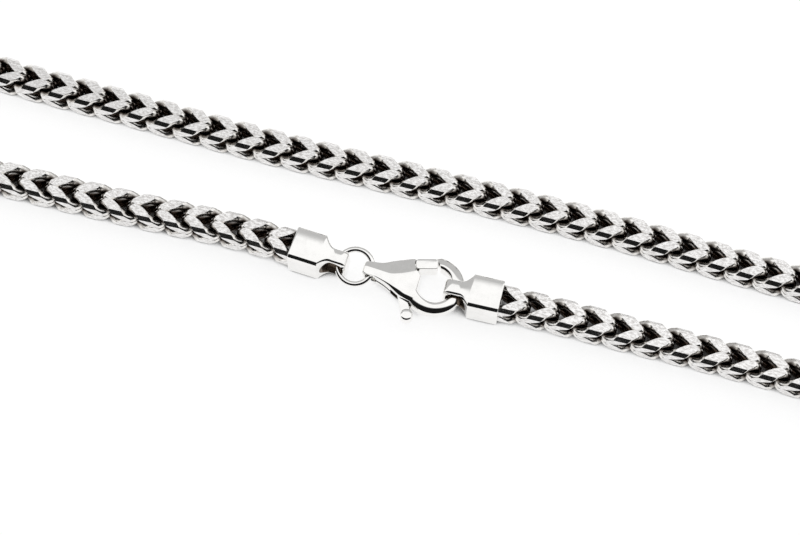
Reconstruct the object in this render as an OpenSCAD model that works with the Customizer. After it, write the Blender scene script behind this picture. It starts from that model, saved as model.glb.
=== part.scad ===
// Square franco chain necklace, fastened with a lobster clasp, lying flat.
// Millimetres, +Z up. The loop's long axis is X and the clasp is on the -Y side.

/* [Chain] */
// Side of the square chain
chain_w = 4; // [3:0.1:5]
// Leg of the 45 degree cut along each of the chain's four edges
edge_cut = 0.48; // [0.2:0.02:0.8]
// Distance from one link to the next
link_pitch = 3.9; // [3.7:0.05:4.4]
// Thickness of a link's wire where it hooks into the next link
bar_d = 0.86; // [0.7:0.02:0.96]
// Thickness of a link's wire at the chain's edges
arm_d = 1.26; // [1.1:0.02:1.4]
// Gap between the two bars at each end of a link
bar_slit = 0.04; // [0.02:0.01:0.2]
// Play between hooked bars
bar_play = 0.12; // [0.06:0.01:0.2]
// How far the wire's centre lies below the chain's face where a link ends
end_depth = 0.48; // [0.4:0.01:0.6]
// How far the wire's centre lies inside the chain's edge
edge_depth = 0.38; // [0.3:0.01:0.5]

/* [End caps] */
// Wall of the square socket
cap_wall = 0.42; // [0.3:0.02:0.6]
// Gap between the chain and the socket
cap_gap = 0.07; // [0.05:0.01:0.2]
// Depth of the socket
socket_depth = 3.3; // [2.5:0.1:3.6]
// How far the chain's route reaches into each socket
tuck = 0.9; // [0.6:0.1:1.3]
// Length of the part with the full width
cap_body = 4.1; // [4:0.1:4.6]
// Length of the taper behind it
cap_taper = 1.5; // [0.8:0.1:2]
// Full length of a cap
cap_length = 7.7; // [7.2:0.1:10]
// Width of the eye
eye_w = 2.2; // [1.6:0.1:2.4]
// Height of the eye at its end
eye_h = 4.1; // [3.9:0.1:4.4]
// Length of the slot through the eye
slot_l = 2.65; // [2.4:0.05:2.8]
// Height of the slot
slot_h = 3.1; // [2.8:0.1:3.2]
// Rounding of the slot's corners
slot_round = 0.9; // [0.2:0.05:1]
// Metal in front of the slot
eye_wall = 0.45; // [0.4:0.05:0.9]
// Rounding of the cap's long edges
cap_round = 0.5; // [0.2:0.05:0.9]
// Turn of each cap away from the clasp's line, seen from above
left_turn = 3.2; // [0:0.2:5]
right_turn = 2; // [0:0.2:5]

/* [Jump ring] */
// Thickness of the ring's wire
ring_wire = 0.72; // [0.6:0.02:0.84]
// Radius to the middle of the wire
ring_r = 2.35; // [2.2:0.05:2.6]
// Lean of the ring, with its far side up
ring_lean = 14; // [0:1:16]
// Play of the ring and the hook in their eyes
eye_play = 0.16; // [0.1:0.02:0.24]

/* [Clasp] */
// Thickness at the middle
clasp_t = 2.8; // [2.4:0.1:3.2]
// Inner radius of the hook
hook_in = 2.45; // [2.35:0.05:2.8]
// Width of the hook
hook_w = 1.65; // [1.3:0.05:1.8]
// Radius of the faces across the clasp
face_r = 28; // [12:1:30]
// Radius of the faces along the clasp
length_r = 70; // [50:5:120]
// Distance from the hook's centre to the tail eye
tail_reach = 8.45; // [8:0.05:10]
// Half width of the tail
tail_r = 0.95; // [0.8:0.05:1]
// Radius of the hole through the tail
tail_hole = 0.85; // [0.75:0.05:0.9]
// Metal behind that hole
tail_wall = 0.42; // [0.4:0.02:0.8]
// Thickness of the lever inside the body
lever_t = 1; // [0.8:0.05:1.2]
// Thickness of the gate that closes the hook
gate_t = 2; // [1.2:0.1:2.2]
// Width of the gate
gate_w = 1.45; // [1:0.05:1.5]
// Width of the lever's arms, to the gate and to the thumb knob
arm_w = 1.1; // [0.8:0.05:1.3]
thumb_w = 1.4; // [0.8:0.05:1.5]
// Radius of the thumb knob
knob_r = 0.85; // [0.6:0.05:1]
// Thickness of the thumb knob
knob_t = 1.6; // [1:0.1:1.8]
// Radius of the pivot pin
pin_r = 0.38; // [0.3:0.02:0.5]
// Angle that the lever opens by
open_angle = 22; // [10:1:24]
// Gap round the lever
lever_gap = 0.14; // [0.1:0.02:0.2]

/* [Hidden] */
$fn = 48;

// Route of the chain's middle line, as the control points of a smooth curve (a uniform
// cubic B-spline). It leaves the left cap, goes round the left end, along the long run and
// round the right end to the right cap. Its ends in the caps follow from the caps below.
route_points = [
    [-36, -6.8], [-51.5, -7.2],
    [-67.5, -7.4], [-80.9, -14.8], [-95.6, -20.7], [-110.2, -14.7], [-116.3, 0],
    [-110.2, 14.7], [-95.6, 20.7], [-80.9, 14.8], [-67.5, 7.9],
    [-53.6, 7.8], [-40.2, 7.65], [-26.8, 7.25], [-13.4, 7.4], [0, 7.7],
    [13.4, 7.85], [26.8, 7.85], [40.2, 7.3], [53.6, 6.8],
    [67.5, 7.2], [80.7, 14.8], [95.3, 20.7], [109.9, 14.7], [115.9, 0],
    [109.9, -14.7], [95.3, -20.7], [80.7, -14.8], [67.5, -6.9],
    [51.5, -6.1], [36, -6.2]];
// Place of the left cap's mouth along X, the line that the ring and the clasp lie on, and
// the length over which the route leaves a cap straight
left_mouth_x = -14.4;
clasp_y = -6.9;
straight = 10;
// Stretch of the route, in mm from its start, where the chain rolls by a quarter turn
roll_from = 300;
roll_to = 434;
// Stretch over which the chain climbs into each cap
climb = 18;
route_steps = 12;

cap_in = chain_w + 2 * cap_gap;
cap_w = cap_in + 2 * cap_wall;
cap_z = cap_w / 2;
slot_x = cap_length - eye_wall - slot_l / 2;

// Places of the metal parts along X: the left cap's mouth and slot, the ring, the clasp's
// tail hole and hook, and the right cap's slot and mouth
clasp_z = cap_z - 0.05;
left_mouth = [left_mouth_x, clasp_y + slot_x * sin(left_turn)];
ring_in = ring_r - ring_wire / 2;
ring_x = left_mouth.x + (slot_x + slot_l / 2) * cos(left_turn) - eye_w / 2 * sin(left_turn)
         - eye_play + sqrt(ring_in ^ 2 - (eye_w / 2) ^ 2);
tail_x = ring_x + sqrt(ring_in ^ 2 - tail_r ^ 2) - eye_play + tail_hole;
hook_x = tail_x + tail_reach;
hook_out = hook_in + hook_w;
hook_play = 0.13;
right_mouth = [hook_x + sqrt(hook_in ^ 2 - (eye_w / 2) ^ 2) - eye_play - hook_play
               + (slot_x + slot_l / 2) * cos(right_turn) - eye_w / 2 * sin(right_turn),
               clasp_y + slot_x * sin(right_turn)];
ring_c = [ring_x, clasp_y];
hook_c = [hook_x, clasp_y];

// The route starts and ends inside the caps, along their own lines. Its right half keeps
// its distance to the right cap.
left_way = [cos(left_turn), -sin(left_turn)];
right_way = [-cos(right_turn), -sin(right_turn)];
left_start = left_mouth + tuck * left_way;
right_start = right_mouth + tuck * right_way;
right_shift = right_mouth.x + left_mouth.x;
chain_route = concat(
    [for (k = [1:-1:-1]) left_start + k * straight * left_way],
    [for (p = route_points) [p.x + (p.x > 0 ? right_shift : 0), p.y]],
    [for (k = [-1:1]) right_start + k * straight * right_way]);

// Lever, in the clasp's own frame with the hook's centre at the origin
pivot = [-4.7, -0.2];
gate_root = [-3.1, 2.15];
gate_tip = [-0.95, 2.75];
gate_start = 0.75;
knob = [-2.4, -5];
tip_r = norm(gate_tip - pivot) + gate_w / 2;
pin_fit = 0.02;
bore_fit = 0.06;

// Curve of the chain
function spline(p, i, t) =
    ((1 - t) ^ 3 * p[i] + (3 * t ^ 3 - 6 * t ^ 2 + 4) * p[i + 1]
     + (-3 * t ^ 3 + 3 * t ^ 2 + 3 * t + 1) * p[i + 2] + t ^ 3 * p[i + 3]) / 6;
route_n = (len(chain_route) - 3) * route_steps;
route = [for (k = [0:route_n]) let (i = min(floor(k / route_steps), len(chain_route) - 4))
    spline(chain_route, i, k / route_steps - i)];
function running(v, k = 0, sum = 0) =
    k >= len(v) ? [] : concat([sum + v[k]], running(v, k + 1, sum + v[k]));
route_s = concat([0], running([for (k = [1:route_n]) norm(route[k] - route[k - 1])]));
x_at = [for (k = [0:route_n]) [route_s[k], route[k].x]];
y_at = [for (k = [0:route_n]) [route_s[k], route[k].y]];
route_length = route_s[route_n];
link_count = 2 * round(route_length / link_pitch / 2);
pitch = route_length / link_count;

function smooth(t) = let (u = max(0, min(1, t))) u * u * (3 - 2 * u);
function roll_at(s) = 90 * max(0, min(1, (s - roll_from) / (roll_to - roll_from)));
// Height of the middle line: half the rolled section's height, raised near the caps
function half_height(a) = max(chain_w / 2 * cos(a) + (chain_w / 2 - edge_cut) * sin(a),
                              chain_w / 2 * sin(a) + (chain_w / 2 - edge_cut) * cos(a));
function z_at(s) = half_height(roll_at(s))
    + (cap_z - chain_w / 2) * smooth(1 - (min(s, route_length - s) - link_pitch) / climb);
function point_at(s) = [lookup(s, x_at), lookup(s, y_at), z_at(s)];

// One link
// Corners of the wire's middle line: a bar's end (hooks the next link) and an edge point
bar_end = [pitch / 2 + bar_d / 2 + bar_play / 2, -(bar_d + bar_slit) / 2, chain_w / 2 - end_depth];
edge_pt = [0, -(chain_w / 2 - edge_depth), chain_w / 2 - edge_depth];
function turned(p) = [-p.x, -p.z, -p.y];
half_top = [bar_end, edge_pt, turned(bar_end)];
ring_top = concat(half_top, [for (k = [2:-1:0]) [half_top[k].x, -half_top[k].y, half_top[k].z]]);
wire = concat(ring_top, [for (k = [5:-1:0]) [ring_top[k].x, ring_top[k].y, -ring_top[k].z]]);
function unit(v) = v / norm(v);
// Keeps a point inside the square with cut edges
function cut_square(p, h = chain_w / 2) =
    let (y = max(-h, min(h, p.y)), z = max(-h, min(h, p.z)),
         over = max(0, abs(y) + abs(z) - (2 * h - edge_cut)) / 2)
    [p.x, y - sign(y) * over, z - sign(z) * over];
wire_sides = 5;
bar_stretch = 1.15;
link_points = [for (i = [0:len(wire) - 1])
    let (n = len(wire), c = wire[i], before = wire[(i + n - 1) % n], after = wire[(i + 1) % n],
         along = unit(unit(after - c) + unit(c - before)),
         out = unit(c - (c * along) * along), side = cross(along, out),
         edge = (i % 3 == 1), r = (edge ? arm_d : bar_d) / 2, k = edge ? 1 : bar_stretch)
    for (j = [0:wire_sides - 1]) let (a = (j + 0.5) * 360 / wire_sides)
        cut_square(c + r * (k * cos(a) * out + sin(a) * side))];
link_faces = [for (i = [0:len(wire) - 1], j = [0:wire_sides - 1])
    let (n = len(wire), a = i * wire_sides + j, b = i * wire_sides + (j + 1) % wire_sides,
         c = ((i + 1) % n) * wire_sides + (j + 1) % wire_sides, d = ((i + 1) % n) * wire_sides + j)
    each [[a, c, b], [a, d, c]]];

module links(first, last) {
    for (k = [first:last]) {
        s = (k + 0.5) * pitch;
        ahead = point_at(s + 0.5) - point_at(s - 0.5);
        translate(point_at(s))
            rotate([roll_at(s), -atan2(ahead.z, norm([ahead.x, ahead.y])), atan2(ahead.y, ahead.x)])
                polyhedron(link_points, link_faces, convexity = 4);
    }
}

module chain_left() { color("silver") links(0, link_count / 2 - 1); }
module chain_right() { color("silver") links(link_count / 2, link_count - 1); }

// End caps
// Rectangle with round corners, made of two bars and four circles
module soft_box(l, h, r) {
    square([l, h - 2 * r], center = true);
    square([l - 2 * r, h], center = true);
    for (x = [-1, 1], y = [-1, 1]) translate([x * (l / 2 - r), y * (h / 2 - r)]) circle(r);
}
// A cap with its mouth at the origin and its eye towards +X
module end_cap() {
    half = cap_w / 2;
    eye_x = cap_length - eye_h / 2;
    difference() {
        intersection() {
            // Section across the chain
            rotate([90, 0, 90]) linear_extrude(cap_length) soft_box(cap_w, cap_w, cap_round);
            // Seen from above: body, taper and eye
            translate([0, 0, -half]) linear_extrude(cap_w) polygon([
                [0, -half], [cap_body, -half], [cap_body + cap_taper, -eye_w / 2],
                [cap_length, -eye_w / 2], [cap_length, eye_w / 2],
                [cap_body + cap_taper, eye_w / 2], [cap_body, half], [0, half]]);
            // Seen from the side: the same taper and the eye's rounded end
            translate([0, half, 0]) rotate([90, 0, 0]) linear_extrude(cap_w) {
                polygon([[0, -half], [cap_body, -half], [cap_body + cap_taper, -eye_h / 2],
                         [cap_length - slot_round, -eye_h / 2], [cap_length - slot_round, eye_h / 2],
                         [cap_body + cap_taper, eye_h / 2], [cap_body, half], [0, half]]);
                translate([cap_length - slot_round - 1, -eye_h / 2 + slot_round])
                    square([slot_round + 1, eye_h - 2 * slot_round]);
                for (z = [-1, 1]) translate([cap_length - slot_round, z * (eye_h / 2 - slot_round)])
                    circle(slot_round);
            }
        }
        // Socket
        translate([-1, -cap_in / 2, -cap_in / 2]) cube([socket_depth + 1, cap_in, cap_in]);
        // Slot through the eye
        translate([slot_x, cap_w, 0]) rotate([90, 0, 0]) linear_extrude(2 * cap_w)
            soft_box(slot_l, slot_h, slot_round);
    }
}
module end_cap_left() {
    color("silver") translate([left_mouth.x, left_mouth.y, cap_z]) rotate(-left_turn) end_cap();
}
module end_cap_right() {
    color("silver") translate([right_mouth.x, right_mouth.y, cap_z])
        rotate(right_turn) mirror([1, 0, 0]) end_cap();
}

// Jump ring
module jump_ring() {
    color("silver") translate([ring_c.x, ring_c.y, clasp_z]) rotate([ring_lean, 0, 0])
        rotate_extrude() translate([ring_r, 0]) circle(d = ring_wire);
}

// Clasp
function arc(c, r, from, to, n) = [for (k = [0:n]) let (a = from + (to - from) * k / n)
    c + r * [cos(a), sin(a)]];
// A bar with round ends
module bar(a, b, w) {
    translate(a) rotate(atan2(b.y - a.y, b.x - a.x)) translate([0, -w / 2]) square([norm(b - a), w]);
    translate(a) circle(d = w);
    translate(b) circle(d = w);
}
tail_round = 0.35;
tail_end = [-tail_reach - tail_hole - tail_wall + tail_round, tail_r - tail_round];
shoulder = [-3.55, 2.4];
shoulder_r = 0.55;
module claw_outline() {
    polygon(concat(
        arc(tail_end, tail_round, 90, 180, 5),
        arc([tail_end.x, -tail_end.y], tail_round, 180, 270, 5),
        [[-8.2, -1], [-6.4, -1.6], [-4.1, -2.85]],
        arc([0, 0], hook_out, 232, 450, 56),
        arc(shoulder, shoulder_r, 40, 112, 6),
        [[-6, 1.95], [-7.5, 1.15]]));
}
// Space inside the hook, flat on the body's side, and the mouth that the gate closes
module claw_space() {
    intersection() {
        circle(hook_in, $fn = 96);
        translate([-2, -hook_in]) square([5, 2 * hook_in]);
    }
    intersection() {
        translate([-2.9, 1.1]) square([4, 3.4]);
        translate(pivot) circle(tip_r + lever_gap, $fn = 96);
    }
}
module lever_arms(extra = 0) {
    bar(pivot, gate_root, arm_w + 2 * extra);
    bar(pivot, knob, thumb_w + 2 * extra);
}
module gate(extra = 0) {
    along = gate_tip - gate_root;
    bar(gate_root + along * gate_start / norm(along), gate_tip, gate_w + 2 * extra);
}
// Everything between the clasp's two domed faces. Each face follows two large circles, one
// across the clasp and one along it.
module between_faces() {
    reach = clasp_t / 2;
    intersection() {
        translate([0, 0, reach - face_r]) rotate([0, 90, 0])
            cylinder(r = face_r, h = 60, center = true, $fn = 720);
        translate([0, 0, face_r - reach]) rotate([0, 90, 0])
            cylinder(r = face_r, h = 60, center = true, $fn = 720);
        translate([-4, 0, reach - length_r]) rotate([90, 0, 0])
            cylinder(r = length_r, h = 60, center = true, $fn = 1440);
        translate([-4, 0, length_r - reach]) rotate([90, 0, 0])
            cylinder(r = length_r, h = 60, center = true, $fn = 1440);
    }
}
module clasp_body() {
    color("silver") translate([hook_c.x, hook_c.y, clasp_z]) difference() {
        intersection() {
            linear_extrude(clasp_t + 1, center = true) claw_outline();
            between_faces();
        }
        linear_extrude(clasp_t + 1, center = true) claw_space();
        // Slot for the lever over its whole travel
        for (k = [0:4]) translate(pivot) rotate(-open_angle * k / 4) translate(-pivot) {
            linear_extrude(lever_t + 2 * lever_gap, center = true) lever_arms(lever_gap);
            linear_extrude(clasp_t + 1, center = true) gate(lever_gap);
        }
        // Crosswise hole through the tail
        translate([-tail_reach, 0, 0]) rotate([90, 0, 0])
            cylinder(r = tail_hole, h = 4 * tail_r, center = true);
        // Pin hole
        translate([pivot.x, pivot.y, 0]) cylinder(r = pin_r + pin_fit, h = clasp_t + 1, center = true);
    }
}
module pivot_pin() {
    color("silver") translate([hook_c.x + pivot.x, hook_c.y + pivot.y, clasp_z])
        cylinder(r = pin_r, h = clasp_t - 0.1, center = true);
}
module clasp_lever() {
    color("silver") translate([hook_c.x, hook_c.y, clasp_z]) difference() {
        union() {
            linear_extrude(lever_t, center = true) lever_arms();
            linear_extrude(gate_t, center = true) gate();
            translate([knob.x, knob.y, 0]) cylinder(r = knob_r, h = knob_t, center = true);
        }
        translate([pivot.x, pivot.y, 0])
            cylinder(r = pin_r + bore_fit, h = lever_t + 1, center = true);
    }
}

chain_left();
chain_right();
end_cap_left();
end_cap_right();
jump_ring();
clasp_body();
pivot_pin();
clasp_lever();
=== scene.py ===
# Franco chain necklace, fastened with a lobster clasp. In the dictionaries all lengths are
# millimetres and all angles degrees.
import math

import bmesh
import bpy
import numpy as np
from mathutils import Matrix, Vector


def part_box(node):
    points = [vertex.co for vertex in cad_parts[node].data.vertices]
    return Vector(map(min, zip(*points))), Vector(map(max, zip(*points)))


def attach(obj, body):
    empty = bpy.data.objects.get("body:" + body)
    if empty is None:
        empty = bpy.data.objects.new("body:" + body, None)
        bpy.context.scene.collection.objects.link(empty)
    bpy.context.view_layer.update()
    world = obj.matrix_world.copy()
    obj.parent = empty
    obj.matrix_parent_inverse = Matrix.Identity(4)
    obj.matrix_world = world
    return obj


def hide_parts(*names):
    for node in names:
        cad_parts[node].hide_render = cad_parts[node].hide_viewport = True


mm = 0.001
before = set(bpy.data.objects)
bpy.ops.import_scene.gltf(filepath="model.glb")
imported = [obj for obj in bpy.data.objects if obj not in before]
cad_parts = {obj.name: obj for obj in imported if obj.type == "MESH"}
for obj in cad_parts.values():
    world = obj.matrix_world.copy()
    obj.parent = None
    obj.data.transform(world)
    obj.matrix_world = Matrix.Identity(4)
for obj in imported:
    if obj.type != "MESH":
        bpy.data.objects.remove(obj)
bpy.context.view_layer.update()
print("frame loaded:", len(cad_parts), "nodes")


# Helpers
def linear(hexCode):
    # An sRGB colour as the linear one that shaders take
    srgb = np.array([int(hexCode[i:i + 2], 16) for i in (0, 2, 4)]) / 255
    low = srgb / 12.92
    high = ((srgb + 0.055) / 1.055) ** 2.4
    return tuple(float(c) for c in np.where(srgb <= 0.04045, low, high)) + (1.0,)


def addNode(tree, kind, settings=None, links=None):
    node = tree.nodes.new(kind)
    for key, value in (settings or {}).items():
        if isinstance(key, str) and hasattr(node, key):
            setattr(node, key, value)
        else:
            node.inputs[key].default_value = value
    for key, source in (links or {}).items():
        tree.links.new(source, node.inputs[key])
    return node


def shade(mesh, angle):
    mesh.shade_smooth()
    mesh.set_sharp_from_angle(angle=math.radians(angle))


def addObject(name, data):
    obj = bpy.data.objects.new(name, data)
    bpy.context.scene.collection.objects.link(obj)
    return obj


def meshObject(name, verts, faces, materials=(), angle=32):
    # A mesh from points in millimetres, sharp where its faces meet at more than the angle
    mesh = bpy.data.meshes.new(name)
    mesh.from_pydata((np.asarray(verts) * mm).tolist(), [], faces)
    for material in materials:
        mesh.materials.append(material)
    work = bmesh.new()
    work.from_mesh(mesh)
    bmesh.ops.recalc_face_normals(work, faces=work.faces[:])
    work.to_mesh(mesh)
    work.free()
    shade(mesh, angle)
    return addObject(name, mesh)


def enter(obj, body, node):
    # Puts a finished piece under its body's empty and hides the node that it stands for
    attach(obj, body)
    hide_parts(node)


def gridFaces(rows, columns, start=0, closed=True):
    # Quads between the rows of a grid, each row closed on itself
    i, j = np.meshgrid(np.arange(rows if closed else rows - 1), np.arange(columns), indexing="ij")
    row, after = i * columns, (i + 1) % rows * columns
    beside = (j + 1) % columns
    quads = np.stack([row + j, after + j, after + beside, row + beside], -1)
    return (quads.reshape(-1, 4) + start).tolist()


def tubeFaces(rows, columns, start=0):
    # The same grid left open between its last row and its first, with a face over each end
    first = start + np.arange(columns)
    last = first + (rows - 1) * columns
    return gridFaces(rows, columns, start, closed=False) + [first[::-1].tolist(), last.tolist()]


def tube(rows):
    # Rows of points as one closed form
    rows = np.asarray(rows, float)
    return rows.reshape(-1, 3), tubeFaces(rows.shape[0], rows.shape[1])


def prism(outline, low, high):
    # A closed outline raised from low to high along z
    outline = np.asarray(outline, float)
    return tube([np.c_[outline, np.full(len(outline), z)] for z in (low, high)])


def cut(obj, verts, faces, hollow=False):
    # Takes a closed form away from a piece. A hollow's walls get the piece's second material.
    tool = meshObject("cutter", verts, faces, obj.data.materials)
    tool.data.polygons.foreach_set("material_index", np.full(len(faces), int(hollow)))
    change = obj.modifiers.new("cut", "BOOLEAN")
    change.operation = "DIFFERENCE"
    change.solver = "EXACT"
    change.object = tool
    graph = bpy.context.evaluated_depsgraph_get()
    spent = (obj.data, tool.data)
    obj.data = bpy.data.meshes.new_from_object(obj.evaluated_get(graph))
    obj.modifiers.clear()
    bpy.data.objects.remove(tool)
    for mesh in spent:
        bpy.data.meshes.remove(mesh)


def arcPoints(centre, radius, start, end, count):
    a = np.radians(np.linspace(start, end, count))
    return np.stack([centre[0] + radius * np.cos(a), centre[1] + radius * np.sin(a)], 1)


def circlePoints(centre, radius, count):
    return arcPoints(centre, radius, 0, 360, count + 1)[:-1]


def turned(points, centre, degrees):
    # Turns the first two coordinates about a centre
    c, s = math.cos(math.radians(degrees)), math.sin(math.radians(degrees))
    points = np.array(points, float)
    points[..., :2] = (points[..., :2] - centre) @ np.array([[c, s], [-s, c]]) + centre
    return points


def softStep(t):
    # From 0 to 1 as t does, level at both ends
    u = np.clip(t, 0, 1)
    return u * u * (3 - 2 * u)


# Materials. Polished silver reflects 92 to 96 percent of the light, a little less of the blue. The
# walls of cut hollows are a darker brown, and inside the chain the wire is darkened by tarnish and
# painted shade.
finishes = {
    "cast": {
        "colour": "f6f5f3", "worn": "f0efed", "roughness": 0.05,
        "bump": 0.10, "perMm": 0.5, "stretch": 1,
    },
    "hollow": {
        "colour": "7d7064", "worn": "4a4038", "roughness": 0.30,
        "bump": 0.30, "perMm": 1.5, "stretch": 1,
    },
    "cut": {
        "colour": "f7f6f5", "worn": "cfccca", "roughness": 0.14,
        "bump": 0.60, "perMm": 4.0, "stretch": 0.5,
    },
    "wire": {
        "colour": "f3f1ee", "worn": "dedad5", "roughness": 0.14,
        "bump": 0.20, "perMm": 2.0, "stretch": 1,
    },
}
# The scratches of every finish: the noise's detail and roughness, where in it the worn places
# start and are full, how many times rougher they are and how deep the relief is
marks = {
    "detail": 4.0, "roughness": 0.65, "wornFrom": 0.42, "wornFull": 0.62, "rougher": 2, "depth": 0.02,
}
# Tarnish and painted shade darken the wire inside the chain, where no cloth reaches and shade falls.
# They start and are full at these depths below the chain's faces.
tarnishAndShade = {"colour": "4c4038", "from": 0.25, "full": 0.75}


def silver(name, colour, worn, roughness, bump, perMm, stretch):
    material = bpy.data.materials.new(name)
    material.use_nodes = True
    tree = material.node_tree
    shader = tree.nodes["Principled BSDF"]
    shader.inputs["Metallic"].default_value = 1.0
    place = addNode(tree, "ShaderNodeTexCoord")
    scaled = addNode(
        tree, "ShaderNodeMapping", {"Scale": (stretch, 1, 1)}, {"Vector": place.outputs["Object"]})
    noise = addNode(
        tree, "ShaderNodeTexNoise",
        {"Scale": perMm / mm, "Detail": marks["detail"], "Roughness": marks["roughness"]},
        {"Vector": scaled.outputs["Vector"]})
    share = addNode(
        tree, "ShaderNodeMapRange", {"From Min": marks["wornFrom"], "From Max": marks["wornFull"]},
        {"Value": noise.outputs["Fac"]})
    tone = addNode(
        tree, "ShaderNodeMix", {"data_type": "RGBA", 6: linear(colour), 7: linear(worn)},
        {0: share.outputs["Result"]})
    rough = addNode(
        tree, "ShaderNodeMapRange", {"To Min": roughness, "To Max": roughness * marks["rougher"]},
        {"Value": share.outputs["Result"]})
    relief = addNode(
        tree, "ShaderNodeBump", {"Strength": bump, "Distance": marks["depth"] * mm},
        {"Height": noise.outputs["Fac"]})
    tree.links.new(tone.outputs[2], shader.inputs["Base Color"])
    tree.links.new(rough.outputs["Result"], shader.inputs["Roughness"])
    tree.links.new(relief.outputs["Normal"], shader.inputs["Normal"])
    return material


def addTarnishAndShade(material):
    # Mixes the tarnish and painted shade in by the mesh's own depth below the chain's nearest face
    tree = material.node_tree
    shader = tree.nodes["Principled BSDF"]
    clean = shader.inputs["Base Color"].links[0].from_socket
    depth = addNode(tree, "ShaderNodeAttribute", {"attribute_name": "depth"})
    share = addNode(
        tree, "ShaderNodeMapRange", {"From Min": tarnishAndShade["from"], "From Max": tarnishAndShade["full"]},
        {"Value": depth.outputs["Fac"]})
    mixed = addNode(
        tree, "ShaderNodeMix", {"data_type": "RGBA", 7: linear(tarnishAndShade["colour"])},
        {0: share.outputs["Result"], 6: clean})
    tree.links.new(mixed.outputs[2], shader.inputs["Base Color"])


castSilver, hollowSilver, cutSilver, wireSilver = (
    silver(name + "_silver", **values) for name, values in finishes.items())
# The wire inside the chain gets tarnish and painted shade
addTarnishAndShade(wireSilver)
print("materials made")

# The end caps, each with its turn away from the clasp's line, seen from above. The chain starts and
# ends in them.
cap = {
    "side": 4.98,
    "inside": 4.14,
    "socket": 3.3,
    "body": 4.1,
    "taper": 1.5,
    "length": 7.7,
    "eyeWidth": 2.2,
    "eyeHeight": 4.1,
    "slotLength": 2.65,
    "slotHeight": 3.1,
    "slotRound": 1.2,
    "slotRim": 0.22,
    "eyeWall": 0.45,
    "eyeRound": 0.9,
    "eyeDraw": 0.12,
    "edgeRound": 0.62,
    "eyeEdgeRound": 0.34,
    "socketRound": 0.15,
    "rimRound": 0.15,
    "hollow": 1.8,
    "dome": 0.045,
    "sharp": 28,
    "turns": {"left": 3.2, "right": 2},
    # Rows of each stretch from the eye's end to the rim, and points round a row. Small gaps part
    # the eye, the taper and the body from the stretch before, and the socket has a row of its own.
    "rows": {"end": 9, "eye": 5, "taper": 16, "body": 24, "lip": 6, "around": 128},
    "gaps": (0.2, 0.08, 0.1),
    "socketRow": 0.5,
    "slotRows": {"rim": 7, "around": 96},
}
# The chain. Each link is one closed wire, bent so that its bars hook into the links beside it.
chain = {
    "side": 4.0,
    "edgeCut": 0.48,
    "pitchWanted": 3.9,
    # The chain makes a quarter roll between these lengths along the route
    "rollFrom": 300,
    "rollTo": 434,
    # Length over which it climbs to a cap, how far it reaches into it, and the step between the
    # three control points on the cap's own line
    "climb": 18,
    "tuck": 0.9,
    "straight": 10,
    # Points of the route between two control points, rings of a link's wire and points of a ring
    "steps": 12,
    "rings": 116,
    "around": 28,
    "piecesPerHalf": 2,
    # Points of the wire's curve for each ring, passes that smooth it and the sharp angle
    "fine": 8,
    "easings": 6,
    "sharp": 20,
    # Middle line of a quarter of one link: x, y, z and the wire's radius there
    "wire": [
        (2.52, -0.36, 0.00, 0.50),
        (2.52, -0.36, 0.55, 0.50),
        (2.41, -0.36, 1.05, 0.54),
        (2.10, -0.37, 1.42, 0.62),
        (1.63, -0.42, 1.58, 0.70),
        (1.16, -0.62, 1.63, 0.73),
        (0.71, -1.02, 1.63, 0.76),
        (0.25, -1.40, 1.60, 0.81),
        (0.00, -1.54, 1.54, 0.84),
    ],
    # The route from cap to cap, as round control points of a uniform cubic B-spline
    "route": [
        (-36, -6.8), (-51.5, -7.2),
        (-67.5, -7.4), (-80.9, -14.8), (-95.6, -20.7), (-110.2, -14.7), (-116.3, 0),
        (-110.2, 14.7), (-95.6, 20.7), (-80.9, 14.8), (-67.5, 7.9),
        (-53.6, 7.8), (-40.2, 7.65), (-26.8, 7.25), (-13.4, 7.4), (0, 7.7),
        (13.4, 7.85), (26.8, 7.85), (40.2, 7.3), (53.6, 6.8),
        (67.5, 7.2), (80.7, 14.8), (95.3, 20.7), (109.9, 14.7), (115.9, 0),
        (109.9, -14.7), (95.3, -20.7), (80.7, -14.8), (67.5, -6.9),
        (51.5, -6.1), (36, -6.2),
    ],
}


def linkLine():
    # Middle line and radius of one link's wire, all the way round
    quarter = np.array(chain["wire"])
    # The link's other faces carry the same arc turned: (x, y, z) becomes (-x, -z, -y)
    other = (quarter[:, [0, 2, 1, 3]] * [-1, -1, -1, 1])[::-1]
    half = np.concatenate([quarter, other[1:]])
    top = np.concatenate([half, (half * [1, -1, 1, 1])[::-1][1:]])
    bottom = (top * [1, 1, -1, 1])[::-1]
    points = np.concatenate([top, bottom[1:-1]])
    # Closed Catmull-Rom curve, taken again at equal arc lengths and smoothed
    n = len(points)
    count = chain["rings"] * chain["fine"]
    t = np.arange(count) / count * n
    i = np.floor(t).astype(int)
    f = (t - i)[:, None]
    p0, p1, p2, p3 = (points[(i + k) % n] for k in (-1, 0, 1, 2))
    curve = 0.5 * (2 * p1 + (p2 - p0) * f + (2 * p0 - 5 * p1 + 4 * p2 - p3) * f ** 2
                   + (3 * p1 - p0 - 3 * p2 + p3) * f ** 3)
    step = np.linalg.norm((np.roll(curve, -1, 0) - curve)[:, :3], axis=1)
    length = np.r_[0, np.cumsum(step)]
    closed = np.vstack([curve, curve[:1]])
    even = np.linspace(0, length[-1], chain["rings"], endpoint=False)
    line = np.stack([np.interp(even, length, closed[:, k]) for k in range(4)], 1)
    for _ in range(chain["easings"]):
        line = 0.25 * np.roll(line, 1, 0) + 0.5 * line + 0.25 * np.roll(line, -1, 0)
    return line


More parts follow.
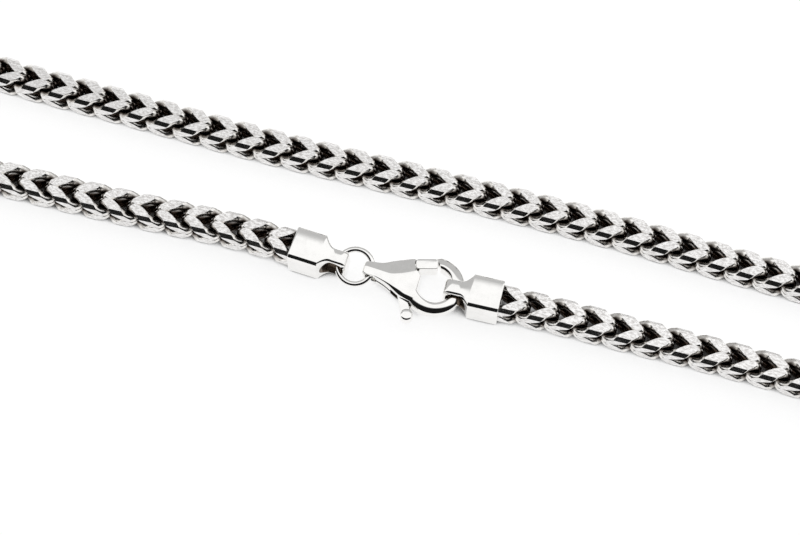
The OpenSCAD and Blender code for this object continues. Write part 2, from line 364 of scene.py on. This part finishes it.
def tubeRound(line, around):
    # Point (i, j) = centre i + radius i * (cos a_j * N_i + sin a_j * B_i), with a frame that is
    # carried along without twist and closed by a small even twist
    centre, radius = line[:, :3], line[:, 3]
    along = np.roll(centre, -1, 0) - np.roll(centre, 1, 0)
    along /= np.linalg.norm(along, axis=1, keepdims=True)
    normal = np.zeros_like(centre)
    # The first normal may point any way across the line
    first = np.cross(along[0], [0, 1.0, 0.3])
    normal[0] = first / np.linalg.norm(first)
    for i in range(1, len(centre)):
        carried = normal[i - 1] - along[i] * np.dot(normal[i - 1], along[i])
        normal[i] = carried / np.linalg.norm(carried)
    side = np.cross(along, normal)
    miss = math.atan2(np.dot(normal[-1], side[0]), np.dot(normal[-1], normal[0]))
    twist = -miss * np.arange(len(centre)) / len(centre)
    angle = 2 * np.pi * np.arange(around)[None, :] / around + twist[:, None]
    verts = centre[:, None] + radius[:, None, None] * (
        np.cos(angle)[..., None] * normal[:, None] + np.sin(angle)[..., None] * side[:, None]
    )
    return verts.reshape(-1, 3)


def makeLink():
    # The wire, cut flat by the chain's four faces and its four cut edges
    verts = tubeRound(linkLine(), chain["around"])
    mesh = bpy.data.meshes.new("link")
    mesh.from_pydata(verts.tolist(), [], gridFaces(chain["rings"], chain["around"]))
    work = bmesh.new()
    work.from_mesh(mesh)
    half = chain["side"] / 2
    q = math.sqrt(0.5)
    corner = (2 * half - chain["edgeCut"]) * q
    # Each cut's outward direction and its distance from the link's middle line
    planes = [(0, 0, 1, half), (0, 0, -1, half), (0, 1, 0, half), (0, -1, 0, half),
              (0, q, q, corner), (0, -q, q, corner), (0, q, -q, corner), (0, -q, -q, corner)]
    for x, y, z, away in planes:
        result = bmesh.ops.bisect_plane(
            work, geom=work.verts[:] + work.edges[:] + work.faces[:], dist=1e-5,
            plane_co=(x * away, y * away, z * away), plane_no=(x, y, z), clear_outer=True,
        )
        rim = [e for e in result["geom_cut"] if isinstance(e, bmesh.types.BMEdge)]
        filled = bmesh.ops.triangle_fill(
            work, edges=rim, use_beauty=True, use_dissolve=True, normal=(x, y, z))
        for item in filled["geom"]:
            if isinstance(item, bmesh.types.BMFace):
                item.material_index = 1
    bmesh.ops.recalc_face_normals(work, faces=work.faces[:])
    bmesh.ops.triangulate(work, faces=[f for f in work.faces if len(f.verts) > 4])
    work.to_mesh(mesh)
    work.free()
    return mesh


def capMouth(side):
    # Where a cap's mouth is: its box is the turned square's, whose far corner is highest
    low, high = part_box("end_cap_" + side)
    half = cap["side"] / 2
    turn = math.radians(cap["turns"][side])
    x = low.x / mm + half * math.sin(turn) if side == "left" else high.x / mm - half * math.sin(turn)
    return np.array([x, high.y / mm - half * math.cos(turn), high.z / mm - half])


def halfHeight(roll):
    # Half the height of the chain's section when it is rolled by this angle
    half = chain["side"] / 2
    small = half - chain["edgeCut"]
    c, s = np.cos(roll), np.sin(roll)
    return np.maximum(half * c + small * s, half * s + small * c)


def controlPoints():
    # The route's points, with three more at each end that lie on the cap's own line. The
    # right half keeps its distance to the right cap.
    left, right = capMouth("left"), capMouth("right")
    leftTurn, rightTurn = (math.radians(cap["turns"][side]) for side in ("left", "right"))
    leftWay = np.array([math.cos(leftTurn), -math.sin(leftTurn)])
    rightWay = np.array([-math.cos(rightTurn), -math.sin(rightTurn)])
    free = np.array(chain["route"], float)
    free[:, 0] += np.where(free[:, 0] > 0, right[0] + left[0], 0)
    tuck, straight = chain["tuck"], chain["straight"]
    ends = [[mouth[:2] + (tuck + k * straight) * way for k in (1, 0, -1)]
            for mouth, way in ((left, leftWay), (right, rightWay))]
    return np.vstack([ends[0], free, ends[1][::-1]])


def places():
    # Centre and axes of every link
    control = controlPoints()
    spans = len(control) - 3
    k = np.arange(spans * chain["steps"] + 1)
    i = np.minimum(k // chain["steps"], spans - 1)
    t = (k / chain["steps"] - i)[:, None]
    line = ((1 - t) ** 3 * control[i] + (3 * t ** 3 - 6 * t ** 2 + 4) * control[i + 1]
            + (-3 * t ** 3 + 3 * t ** 2 + 3 * t + 1) * control[i + 2]
            + t ** 3 * control[i + 3]) / 6
    run = np.r_[0, np.cumsum(np.linalg.norm(np.diff(line, axis=0), axis=1))]
    total = run[-1]
    count = 2 * round(total / chain["pitchWanted"] / 2)
    pitch = total / count
    rise = cap["side"] / 2 - chain["side"] / 2

    def at(s):
        share = (s - chain["rollFrom"]) / (chain["rollTo"] - chain["rollFrom"])
        roll = np.radians(90) * np.clip(share, 0, 1)
        near = np.minimum(s, total - s)
        z = halfHeight(roll) + rise * softStep(1 - (near - chain["pitchWanted"]) / chain["climb"])
        return np.stack([np.interp(s, run, line[:, 0]), np.interp(s, run, line[:, 1]), z], 1), roll

    s = (np.arange(count) + 0.5) * pitch
    centre, roll = at(s)
    # A link points from this far behind its centre to as far ahead
    reach = 0.5
    ahead = at(s + reach)[0] - at(s - reach)[0]
    x = ahead / np.linalg.norm(ahead, axis=1, keepdims=True)
    y = np.stack([-x[:, 1], x[:, 0], np.zeros(count)], 1)
    y /= np.linalg.norm(y, axis=1, keepdims=True)
    z = np.cross(x, y)
    c, n = np.cos(roll)[:, None], np.sin(roll)[:, None]
    axes = np.stack([x, c * y + n * z, c * z - n * y], 2)
    print("route", round(total, 1), "mm,", count, "links, pitch", round(pitch, 3))
    return centre, axes


def chainPiece(name, link, centre, axes):
    # Copies of the link's mesh at each place, as one mesh
    count, n = len(centre), len(link.vertices)
    local = np.empty(n * 3)
    loops = np.empty(len(link.loops), int)
    starts, slots = (np.empty(len(link.polygons), int) for _ in range(2))
    link.vertices.foreach_get("co", local)
    link.loops.foreach_get("vertex_index", loops)
    link.polygons.foreach_get("loop_start", starts)
    link.polygons.foreach_get("material_index", slots)
    local = local.reshape(-1, 3)
    verts = centre[:, None] + np.einsum("kij,nj->kni", axes, local)
    k = np.arange(count)[:, None]
    mesh = bpy.data.meshes.new(name)
    mesh.vertices.add(count * n)
    mesh.loops.add(count * len(loops))
    mesh.polygons.add(count * len(starts))
    mesh.vertices.foreach_set("co", (verts * mm).ravel())
    mesh.loops.foreach_set("vertex_index", (loops + k * n).ravel())
    mesh.polygons.foreach_set("loop_start", (starts + k * len(loops)).ravel())
    mesh.update(calc_edges=True)
    mesh.validate()
    mesh.polygons.foreach_set("material_index", np.tile(slots, count))
    mesh.polygons.foreach_set("use_smooth", np.tile(slots == 0, count))
    # How deep each point lies below the chain's faces, which sets the tarnish and painted shade
    depth = chain["side"] / 2 - np.abs(local[:, 1:]).max(1)
    mesh.attributes.new("depth", "FLOAT", "POINT").data.foreach_set("value", np.tile(depth, count))
    mesh.set_sharp_from_angle(angle=math.radians(chain["sharp"]))
    mesh.materials.append(wireSilver)
    mesh.materials.append(cutSilver)
    return addObject(name, mesh)


link = makeLink()
centres, linkAxes = places()
pieces = 2 * chain["piecesPerHalf"]
for k in range(pieces):
    which, part = divmod(k, chain["piecesPerHalf"])
    half = ("left", "right")[which]
    own = slice(k * len(centres) // pieces, (k + 1) * len(centres) // pieces)
    piece = chainPiece(f"chain_{half}_{part + 1}", link, centres[own], linkAxes[own])
    enter(piece, "necklace", "chain_" + half)
print("chain made:", sum(len(p.vertices) - 2 for p in link.polygons), "triangles a link")


# The caps' forms
def roundRect(u, halfX, halfY, radius, lead=0.17):
    # Rectangle with round corners: the point at each share u (0 to 1) of the way round. In each
    # quarter the first and last points lead from and to the sides' middles, the rest are on the arc.
    corner = np.floor(u * 4).astype(int) % 4
    f = u * 4 - np.floor(u * 4)
    early, late = np.clip(1 - f / lead, 0, 1), np.clip((f - (1 - lead)) / lead, 0, 1)
    angle = (corner + np.clip((f - lead) / (1 - 2 * lead), 0, 1)) * np.pi / 2
    x = np.array([1, -1, -1, 1])[corner] * (halfX - radius) + radius * np.cos(angle)
    y = np.array([1, 1, -1, -1])[corner] * (halfY - radius) + radius * np.sin(angle)
    before, after = corner * np.pi / 2, (corner + 1) * np.pi / 2
    onArc = 1 - early - late
    return (x * onArc + halfX * (early * np.cos(before) + late * np.cos(after)),
            y * onArc + halfY * (early * np.sin(before) + late * np.sin(after)))


def taperWidth(x):
    # Half the cap's width: full, then a hollow curve down to the eye
    half, eye = cap["side"] / 2, cap["eyeWidth"] / 2
    t = np.clip((x - cap["body"]) / cap["taper"], 0, 1)
    return eye + (half - eye) * (1 - t) ** cap["hollow"]


def capForm():
    # Rounded squares along x, from the eye's end to the mouth, round its rim and into the socket
    half, inside = cap["side"] / 2, cap["inside"] / 2
    endRound, rim = cap["eyeRound"], cap["rimRound"]
    count = cap["rows"]
    bend = np.linspace(np.pi / 2, 0, count["end"])
    lip = np.linspace(0, np.pi / 2, count["lip"])
    neck = cap["body"] + cap["taper"]
    eyeGap, taperGap, bodyGap = cap["gaps"]
    # The end's round edge, the eye, the taper, the body, the rim's two halves and the socket
    x = np.r_[
        cap["length"] - endRound * (1 - np.sin(bend)),
        np.linspace(cap["length"] - endRound - eyeGap, neck, count["eye"]),
        np.linspace(neck - taperGap, cap["body"], count["taper"]),
        np.linspace(cap["body"] - bodyGap, rim + bodyGap, count["body"]),
        rim * (1 - np.sin(lip)),
        rim * (1 - np.cos(lip)),
        cap["socketRow"],
        cap["socket"],
    ]
    inner = 2 + len(lip)
    t = np.clip((x - cap["body"]) / cap["taper"], 0, 1)
    halfZ = half + (cap["eyeHeight"] / 2 - half) * t
    halfZ[:len(bend)] -= endRound * (1 - np.cos(bend))
    halfY = taperWidth(x)
    halfY[:len(bend)] -= cap["eyeDraw"] * (1 - np.cos(bend))
    corner = cap["edgeRound"] + (cap["eyeEdgeRound"] - cap["edgeRound"]) * t
    wall = half - inside
    drop = np.r_[rim * (1 - np.cos(lip)), wall - rim * (1 - np.sin(lip)), wall, wall]
    halfY[-len(drop):] = half - drop
    halfZ[-len(drop):] = half - drop
    corner[-inner:] = cap["socketRound"]
    x, halfY, halfZ, corner = (column[:, None] for column in (x, halfY, halfZ, corner))
    y, z = roundRect(np.linspace(0, 1, count["around"], endpoint=False), halfY, halfZ, corner)
    # The outer faces are a little domed: each point is drawn in by its share across its face
    domed = np.where(np.arange(len(x)) < len(x) - inner, cap["dome"], 0)[:, None]
    rows = [
        np.broadcast_to(x, y.shape),
        y * (1 - domed * (z / halfZ) ** 2),
        z * (1 - domed * (y / halfY) ** 2),
    ]
    return tube(np.stack(rows, -1))


def slotForm():
    # The eye's slot, with its rims rounded where they meet the cap's two faces
    rim = cap["slotRim"]
    middle = cap["length"] - cap["eyeWall"] - cap["slotLength"] / 2
    halfL, halfH = cap["slotLength"] / 2, cap["slotHeight"] / 2
    u = np.linspace(0, 1, cap["slotRows"]["around"], endpoint=False)
    bend = np.linspace(0, np.pi / 2, cap["slotRows"]["rim"])
    # How far each row is let out, and how far below the face it lies. The first is clear of the cap.
    steps = [(rim, None), *zip(rim * (1 - np.sin(bend)), rim * (1 - np.cos(bend)))]
    rows = []
    for away, down in steps:
        x, z = roundRect(u, halfL + away, halfH + away, cap["slotRound"] + away)
        x = x + middle
        y = np.full(len(u), cap["side"]) if down is None else taperWidth(x) - down
        rows.append(np.stack([x, y, z], -1))
    rows = np.array(rows)
    return tube(np.concatenate([rows, rows[::-1] * [1, -1, 1]]))


def capPiece(side):
    # Both forms have the mouth at the origin and the eye towards +x; the right cap is mirrored
    way = 1 if side == "left" else -1

    def placed(verts):
        return turned(verts * [way, 1, 1], (0, 0), -way * cap["turns"][side]) + capMouth(side)

    verts, faces = capForm()
    piece = meshObject("cap_" + side, placed(verts), faces, (castSilver, hollowSilver))
    verts, faces = slotForm()
    cut(piece, placed(verts), faces, hollow=True)
    shade(piece.data, cap["sharp"])
    return piece


for side in ("left", "right"):
    enter(capPiece(side), "necklace", "end_cap_" + side)
print("caps made")

# The jump ring
ring = {"radius": 2.35, "wire": 0.8, "lean": 14, "rows": 160, "columns": 36}


def torus(radius, wireRadius, rows, columns):
    # Point (u, v) = ((R + r cos v) cos u, (R + r cos v) sin u, r sin v)
    u, v = np.meshgrid(np.linspace(0, 2 * np.pi, rows, endpoint=False),
                       np.linspace(0, 2 * np.pi, columns, endpoint=False), indexing="ij")
    away = radius + wireRadius * np.cos(v)
    return np.stack([away * np.cos(u), away * np.sin(u), wireRadius * np.sin(v)], -1).reshape(-1, 3)


def ringPiece():
    low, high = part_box("jump_ring")
    c, s = math.cos(math.radians(ring["lean"])), math.sin(math.radians(ring["lean"]))
    verts = torus(ring["radius"], ring["wire"] / 2, ring["rows"], ring["columns"])
    verts = verts @ np.array([[1, 0, 0], [0, c, s], [0, -s, c]]) + np.array(low + high) / 2 / mm
    return meshObject("ring", verts, gridFaces(ring["rows"], ring["columns"]), [castSilver])


enter(ringPiece(), "necklace", "jump_ring")
print("ring made")

# The clasp, in its own frame with the hook's centre at the origin
clasp = {
    "thickness": 2.8,
    # Each face is a dome with these radii across and along it, highest at the crest
    "faceRadius": 28,
    "lengthRadius": 70,
    "crest": -4,
    "hookInside": 2.45,
    "hookWidth": 1.65,
    "hookArc": (-128, 90),
    "flatSide": 2.0,
    "mouthCorner": (-2.9, 1.1),
    "tailReach": 8.45,
    "tailWidth": 1.9,
    "tailHole": 0.85,
    "tailWall": 0.42,
    "tailRound": 0.35,
    "drill": 3,
    "shoulder": (-3.55, 2.4),
    "shoulderRound": 0.55,
    "shoulderArc": (40, 112),
    "farEdge": [(-6, 1.95), (-7.5, 1.15)],
    "nearEdge": [(-8.2, -1), (-6.4, -1.6), (-4.1, -2.85)],
    # The long edges are eased into curves between these two places along x, with a soft start
    # and end of this length
    "easeFrom": -3.3,
    "easeTo": -8,
    "easeSoft": 1.2,
    "easings": 90,
    # Flats on the two faces: a point on the flat's middle line, half the thickness there, the
    # way up its slope and the slope. Ridge is how softly they meet the dome.
    "farFlat": {"at": (-6, 1.95), "half": 0.98, "up": (0.41, -0.91), "slope": 0.2},
    "nearFlat": {"at": (-5.25, -2.22), "half": 1.14, "up": (0.59, 0.81), "slope": 0.2},
    "ridge": 0.02,
    # The rounded edges: inner at the body and at the hook, outer at the tail and at the hook,
    # and how far down the outer one reaches at most
    "innerRounds": (0.28, 0.58),
    "outerRounds": (0.42, 1.0),
    "edgeDrop": 0.55,
    # How far a ray is on the hook is a soft step of (cosine + first) / second, and how far it is on
    # the near side one of first + second * sine
    "hookStep": (0.6, 0.9),
    "nearStep": (-0.3, -2.2),
    # Rays from the hook's centre, as first angle, last angle and count, denser towards the tail
    "rays": [(-128, 130, 150), (131, 169, 60), (169.3, 190, 110), (190.5, 231.5, 80)],
    # Groove along the near wall, from the tail to the lever
    "groove": [(-8.2, -0.7), (-6.3, -1.2), (-4.9, -1.7), (-4.9, -3.2), (-8.2, -2.4)],
    "grooveWidth": 0.4,
    "sharp": 24,
}
# The lever in the same frame. The clasp's body is cut by its travel.
lever = {
    "thickness": 1.0,
    "gap": 0.14,
    "opens": 22,
    "pivot": (-4.7, -0.2),
    "gateRoot": (-3.1, 2.15),
    "gateTip": (-0.95, 2.75),
    "gateStart": 0.75,
    "gateWidth": 1.45,
    "gateThickness": 2.2,
    "gateRound": 0.42,
    "armWidth": 1.1,
    "thumbWidth": 1.4,
    "knob": (-2.4, -5),
    "knobRadius": 0.85,
    "knobThickness": 1.6,
    # How far the upper and lower edges of each part are rounded
    "armEdge": 0.08,
    "thumbEdge": 0.3,
    "gateEdge": 0.1,
    "knobEdge": 0.35,
    "sharp": 30,
}
low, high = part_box("clasp_body")
hookOut = clasp["hookInside"] + clasp["hookWidth"]
claspAt = np.array([high.x / mm - hookOut, low.y / mm + hookOut, (low.z + high.z) / 2 / mm])
pivot = np.array(lever["pivot"])


def polar(outline, angles):
    # Where each ray from the origin meets an outline whose points go round it in order
    own = np.unwrap(np.arctan2(outline[:, 1], outline[:, 0]))
    own = np.r_[own - 2 * np.pi, own, own + 2 * np.pi]
    thrice = np.vstack([outline] * 3)
    return np.stack([np.interp(angles, own, thrice[:, k]) for k in (0, 1)], 1)


def dense(points, most=0.06):
    # A closed outline with points added, so that they lie about this close or closer
    points = np.asarray(points, float)
    return np.concatenate([
        a + (b - a) * np.linspace(0, 1, max(2, int(math.dist(a, b) / most)), endpoint=False)[:, None]
        for a, b in zip(points, np.roll(points, -1, 0))
    ])


def flatHeight(flat, x, y):
    # Height of a flat: its height at its middle line plus slope times the way up from there
    rise = (x - flat["at"][0]) * flat["up"][0] + (y - flat["at"][1]) * flat["up"][1]
    return flat["half"] + flat["slope"] * rise


def claspHeight(place):
    # Half the clasp's thickness: a dome, cut by a flat towards each long edge. The lower of two
    # heights is (a + b - sqrt((a - b)^2 + s^2)) / 2, with a small s that softens the ridge.
    x, y = place[..., 0], place[..., 1]
    height = (clasp["thickness"] / 2 - y ** 2 / (2 * clasp["faceRadius"])
              - (x - clasp["crest"]) ** 2 / (2 * clasp["lengthRadius"]))
    for flat in (clasp["farFlat"], clasp["nearFlat"]):
        other = flatHeight(flat, x, y)
        height = 0.5 * (height + other - np.sqrt((height - other) ** 2 + clasp["ridge"] ** 2))
    return height


def sectionRing(hole, rim, halfWidth, innerRound, outerRound, outerDrop, across=38, bend=8, up=5):
    # One closed surface round a hole. Row i is a ray from the hole's edge to the outline. Column j
    # walks round that ray's section: up the hole's wall, over its rim, along the face, over the
    # outer edge, down the outer wall and back along the other face.
    span = np.linalg.norm(rim - hole, axis=1)[:, None]
    arc = np.linspace(0, np.pi / 2, bend)
    wall = np.linspace(0, 1, up)[:-1]
    flat = np.linspace(0, 1, across)[1:-1]
    ri, ro = innerRound[:, None], outerRound[:, None]
    one = np.ones_like(span)
    d = np.concatenate([0 * wall * one, ri * (1 - np.cos(arc)), ri + (span - ri - ro) * flat,
                        span - ro * (1 - np.sin(arc)), span * np.ones_like(wall)], 1)
    way = (rim - hole) / span
    place = hole[:, None] + way[:, None] * d[..., None]
    top = halfWidth(place)
    rd = np.minimum(ro, outerDrop)
    drop = np.concatenate([0 * wall * one, ri * (1 - np.sin(arc)), 0 * flat * one,
                           rd * (1 - np.cos(arc)), 0 * wall * one], 1)
    w = len(wall)
    height = top - drop
    height[:, :w] = wall * (top[:, :w] - ri)
    height[:, -w:] = wall[::-1] * (top[:, -w:] - rd)
    upper = np.concatenate([place, height[..., None]], 2)
    lower = upper[:, 1:-1][:, ::-1] * [1, 1, -1]
    loop = np.concatenate([upper, lower], 1)
    return loop.reshape(-1, 3), gridFaces(loop.shape[0], loop.shape[1])


def claspOutline():
    # The hook's arc, the shoulder, the far edge, the squarish tail and the near edge
    r, half = clasp["tailRound"], clasp["tailWidth"] / 2
    end = -clasp["tailReach"] - clasp["tailHole"] - clasp["tailWall"] + r
    outline = dense(np.vstack([
        arcPoints((0, 0), hookOut, *clasp["hookArc"], 120),
        arcPoints(clasp["shoulder"], clasp["shoulderRound"], *clasp["shoulderArc"], 10),
        clasp["farEdge"],
        arcPoints((end, half - r), r, 90, 180, 8),
        arcPoints((end, r - half), r, 180, 270, 8),
        clasp["nearEdge"],
    ]))
    x, soft = outline[:, :1], clasp["easeSoft"]
    share = 0.5 * (softStep((clasp["easeFrom"] - x) / soft) - softStep((clasp["easeTo"] - x) / soft))
    for _ in range(clasp["easings"]):
        middle = 0.5 * (np.roll(outline, 1, 0) + np.roll(outline, -1, 0))
        outline = outline + share * (middle - outline)
    return outline


def claspBody():
    inner, flat = clasp["hookInside"], clasp["flatSide"]
    edge = math.degrees(math.acos(flat / inner))
    hole = dense(arcPoints((0, 0), inner, -180 + edge, 180 - edge, 120))
    angles = np.radians(np.concatenate([np.linspace(*run) for run in clasp["rays"]]))
    hookStep, nearStep = clasp["hookStep"], clasp["nearStep"]
    onHook = softStep((np.cos(angles) + hookStep[0]) / hookStep[1])
    onNear = softStep(nearStep[0] + nearStep[1] * np.sin(angles))
    innerRound = np.interp(onHook, (0, 1), clasp["innerRounds"])
    outerRound = np.interp(np.maximum(onHook, onNear), (0, 1), clasp["outerRounds"])
    verts, faces = sectionRing(polar(hole, angles), polar(claspOutline(), angles), claspHeight,
                               innerRound, outerRound, clasp["edgeDrop"])
    return meshObject("clasp_claw", verts + claspAt, faces, (castSilver, hollowSilver), clasp["sharp"])


def barOutline(a, b, width, count=16):
    # A bar with round ends, seen from above
    turn = math.degrees(math.atan2(b[1] - a[1], b[0] - a[0]))
    return np.vstack([arcPoints(b, width / 2, turn - 90, turn + 90, count),
                      arcPoints(a, width / 2, turn + 90, turn + 270, count)])


def gateEnds():
    # Where the gate's round ends have their centres, when it is taken as a bar
    root, tip = np.array(lever["gateRoot"]), np.array(lever["gateTip"])
    return root + (tip - root) / np.linalg.norm(tip - root) * lever["gateStart"], tip


def gateOutline():
    # The gate as a rectangle with round corners, seen from above
    start, tip = gateEnds()
    width = lever["gateWidth"]
    u = np.linspace(0, 1, 96, endpoint=False)
    x, y = roundRect(u, (math.dist(start, tip) + width) / 2, width / 2, lever["gateRound"])
    turn = math.degrees(math.atan2(tip[1] - start[1], tip[0] - start[0]))
    return turned(np.stack([x, y], 1), (0, 0), turn) + (start + tip) / 2


def armOutline(end, width, extra=0):
    return barOutline(lever["pivot"], lever[end], lever[width] + 2 * extra)


def sweptOutline(points, steps=7):
    # Convex outline round a shape at every angle of the lever's travel
    angles = [-lever["opens"] * k / (steps - 1) for k in range(steps)]
    every = np.vstack([turned(points, pivot, angle) for angle in angles])
    work = bmesh.new()
    made = [work.verts.new((x, y, 0)) for x, y in every]
    hull = bmesh.ops.convex_hull(work, input=made)
    corners = np.array([v.co.xy for v in hull["geom"] if isinstance(v, bmesh.types.BMVert)])
    work.free()
    middle = corners.mean(0)
    return corners[np.argsort(np.arctan2(corners[:, 1] - middle[1], corners[:, 0] - middle[0]))]


def cutClasp(claw):
    # The hook's mouth, the lever's room over its whole travel, the groove and the tail's hole
    gap, deep = lever["gap"], clasp["thickness"]
    slot = lever["thickness"] / 2 + gap
    # The mouth's outer side is an arc about the pin, just clear of the gate's tip
    tipRadius = math.dist(lever["gateTip"], lever["pivot"]) + lever["gateWidth"] / 2 + gap
    left, bottom = clasp["mouthCorner"]
    arc = arcPoints(pivot, tipRadius, -5, 80, 60)
    arc = arc[(arc[:, 1] > bottom) & (arc[:, 0] > left)]
    mouth = np.vstack([[(left, bottom), (arc[0, 0], bottom)], arc, [(left, arc[-1, 1])]])
    gate = barOutline(*gateEnds(), lever["gateWidth"] + 2 * gap)
    rooms = [
        (mouth, deep, False),
        (sweptOutline(gate), deep, False),
        (sweptOutline(armOutline("gateRoot", "armWidth", gap)), slot, True),
        (sweptOutline(armOutline("knob", "thumbWidth", gap)), slot, True),
        (clasp["groove"], clasp["grooveWidth"] / 2, True),
    ]
    for outline, half, hollow in rooms:
        verts, faces = prism(outline, -half, half)
        cut(claw, verts + claspAt, faces, hollow)
    # The tail's hole runs across, so its cutter is laid over: (x, y, z) becomes (x, -z, y)
    hole = circlePoints((-clasp["tailReach"], 0), clasp["tailHole"], 48)
    verts, faces = prism(hole, -clasp["drill"], clasp["drill"])
    cut(claw, verts[:, [0, 2, 1]] * [1, -1, 1] + claspAt, faces)
    shade(claw.data, clasp["sharp"])


claw = claspBody()
cutClasp(claw)
enter(claw, "necklace", "clasp_body")
print("clasp body made")


# The lever: the gate, the two arms and the thumb knob, in one piece
def plate(outline, half, rounding, count=6):
    # A flat bar: its outline is drawn in along its normal at the top and bottom edges
    ahead = np.roll(outline, -1, 0) - np.roll(outline, 1, 0)
    out = np.stack([ahead[:, 1], -ahead[:, 0]], 1)
    out /= np.linalg.norm(out, axis=1, keepdims=True)
    a = np.linspace(0, np.pi / 2, count)
    inward, down = rounding * (1 - np.cos(a)), rounding * (1 - np.sin(a))
    rows = [*zip(inward[::-1], down[::-1] - half), *zip(inward, half - down)]
    return np.array([np.c_[outline - out * away, np.full(len(outline), z)] for away, z in rows])


def leverPiece():
    half = lever["thickness"] / 2
    knob = circlePoints(lever["knob"], lever["knobRadius"], 64)
    plates = [
        plate(armOutline("gateRoot", "armWidth"), half, lever["armEdge"]),
        plate(armOutline("knob", "thumbWidth"), half, lever["thumbEdge"]),
        plate(gateOutline(), lever["gateThickness"] / 2, lever["gateEdge"]),
        plate(knob, lever["knobThickness"] / 2, lever["knobEdge"]),
    ]
    verts, faces = [], []
    for rows in plates:
        faces += tubeFaces(rows.shape[0], rows.shape[1], len(verts))
        verts += rows.reshape(-1, 3).tolist()
    return meshObject("lever", np.array(verts) + claspAt, faces, [castSilver], lever["sharp"])


enter(leverPiece(), "lever", "clasp_lever")
# The pin's own solid is shown
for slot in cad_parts["pivot_pin"].material_slots:
    slot.material = castSilver
print("lever made")

# Floor, light and camera. The floor glows like a light table, except where something stands
# close over it. The sky is one soft white box, grey behind, with a tall black flag in front.
studio = {
    "floor": "a0a0a0", "floorReach": 3000, "floorDrop": 0.02, "glow": 0.82,
    # How far the floor looks up for things over it, and the open shares at which its glow is out
    # and full
    "shadowReach": 3.2, "shadowFull": 0.25, "shadowFrom": 0.50,
    # Brightness of the sky, of its grey part and of the flag. The grey starts and is full at these
    # shares of a direction that points away from the camera, the flag of one towards the front.
    "overhead": 1.08, "grey": 0.55, "greyFrom": 0.45, "greyFull": 0.52,
    "flag": 0.01, "flagAzimuth": 7, "flagFrom": 0.13, "flagFull": 0.28,
}
# The camera sees this width at its distance from the point that it aims at
camera = {
    "azimuth": 15.8, "elevation": 66.5, "distance": 262, "wide": 106.7, "aim": (0, -5.2, 2),
    "sensor": 36, "clip": (10, 20000),
}


def smoothRange(tree, value, start, full, low=0.0, high=1.0):
    # Goes softly from low to high while the value goes from start to full
    settings = {
        "interpolation_type": "SMOOTHSTEP",
        "From Min": start, "From Max": full, "To Min": low, "To Max": high,
    }
    return addNode(tree, "ShaderNodeMapRange", settings, {"Value": value}).outputs["Result"]


def levelShare(tree, direction, azimuth):
    # Dot product of a direction with the level one that points to this azimuth
    turn = math.radians(azimuth)
    settings = {"operation": "DOT_PRODUCT", 1: (math.sin(turn), -math.cos(turn), 0)}
    return addNode(tree, "ShaderNodeVectorMath", settings, {0: direction}).outputs["Value"]


def makeFloor():
    material = bpy.data.materials.new("floor")
    material.use_nodes = True
    tree = material.node_tree
    shader = tree.nodes["Principled BSDF"]
    shader.inputs["Base Color"].default_value = linear(studio["floor"])
    shader.inputs["Roughness"].default_value = 0.9
    shader.inputs["Specular IOR Level"].default_value = 0.0
    shader.inputs["Emission Color"].default_value = (1, 1, 1, 1)
    near = addNode(tree, "ShaderNodeAmbientOcclusion", {"Distance": studio["shadowReach"] * mm})
    glow = smoothRange(
        tree, near.outputs["AO"], studio["shadowFull"], studio["shadowFrom"], 0.0, studio["glow"])
    tree.links.new(glow, shader.inputs["Emission Strength"])
    far, z = studio["floorReach"], -studio["floorDrop"]
    corners = [(-far, -far, z), (far, -far, z), (far, far, z), (-far, far, z)]
    meshObject("floor", corners, [(0, 1, 2, 3)], [material])


def makeWorld():
    world = bpy.data.worlds.new("studio")
    bpy.context.scene.world = world
    world.use_nodes = True
    tree = world.node_tree
    where = addNode(tree, "ShaderNodeTexCoord").outputs["Generated"]
    behind = levelShare(tree, where, camera["azimuth"] + 180)
    front = levelShare(tree, where, studio["flagAzimuth"])
    bright = smoothRange(
        tree, behind, studio["greyFrom"], studio["greyFull"], studio["overhead"], studio["grey"])
    flag = smoothRange(tree, front, studio["flagFrom"], studio["flagFull"])
    level = addNode(
        tree, "ShaderNodeMix", {"data_type": "FLOAT", 3: studio["flag"]}, {0: flag, 2: bright})
    background = tree.nodes["Background"]
    background.inputs["Color"].default_value = (1, 1, 1, 1)
    tree.links.new(level.outputs[0], background.inputs["Strength"])


def makeCamera():
    lens = bpy.data.cameras.new("camera")
    lens.sensor_width = camera["sensor"]
    lens.lens = camera["sensor"] * camera["distance"] / camera["wide"]
    lens.clip_start, lens.clip_end = (reach * mm for reach in camera["clip"])
    view = addObject("camera", lens)
    turn, rise = math.radians(camera["azimuth"]), math.radians(camera["elevation"])
    flat = math.cos(rise)
    toCamera = Vector((math.sin(turn) * flat, -math.cos(turn) * flat, math.sin(rise)))
    view.location = (Vector(camera["aim"]) + toCamera * camera["distance"]) * mm
    view.rotation_euler = (-toCamera).to_track_quat("-Z", "Y").to_euler()
    scene = bpy.context.scene
    scene.camera = view
    scene.view_settings.view_transform = "Standard"
    scene.view_settings.look = "None"


makeFloor()
makeWorld()
makeCamera()
print("studio made")
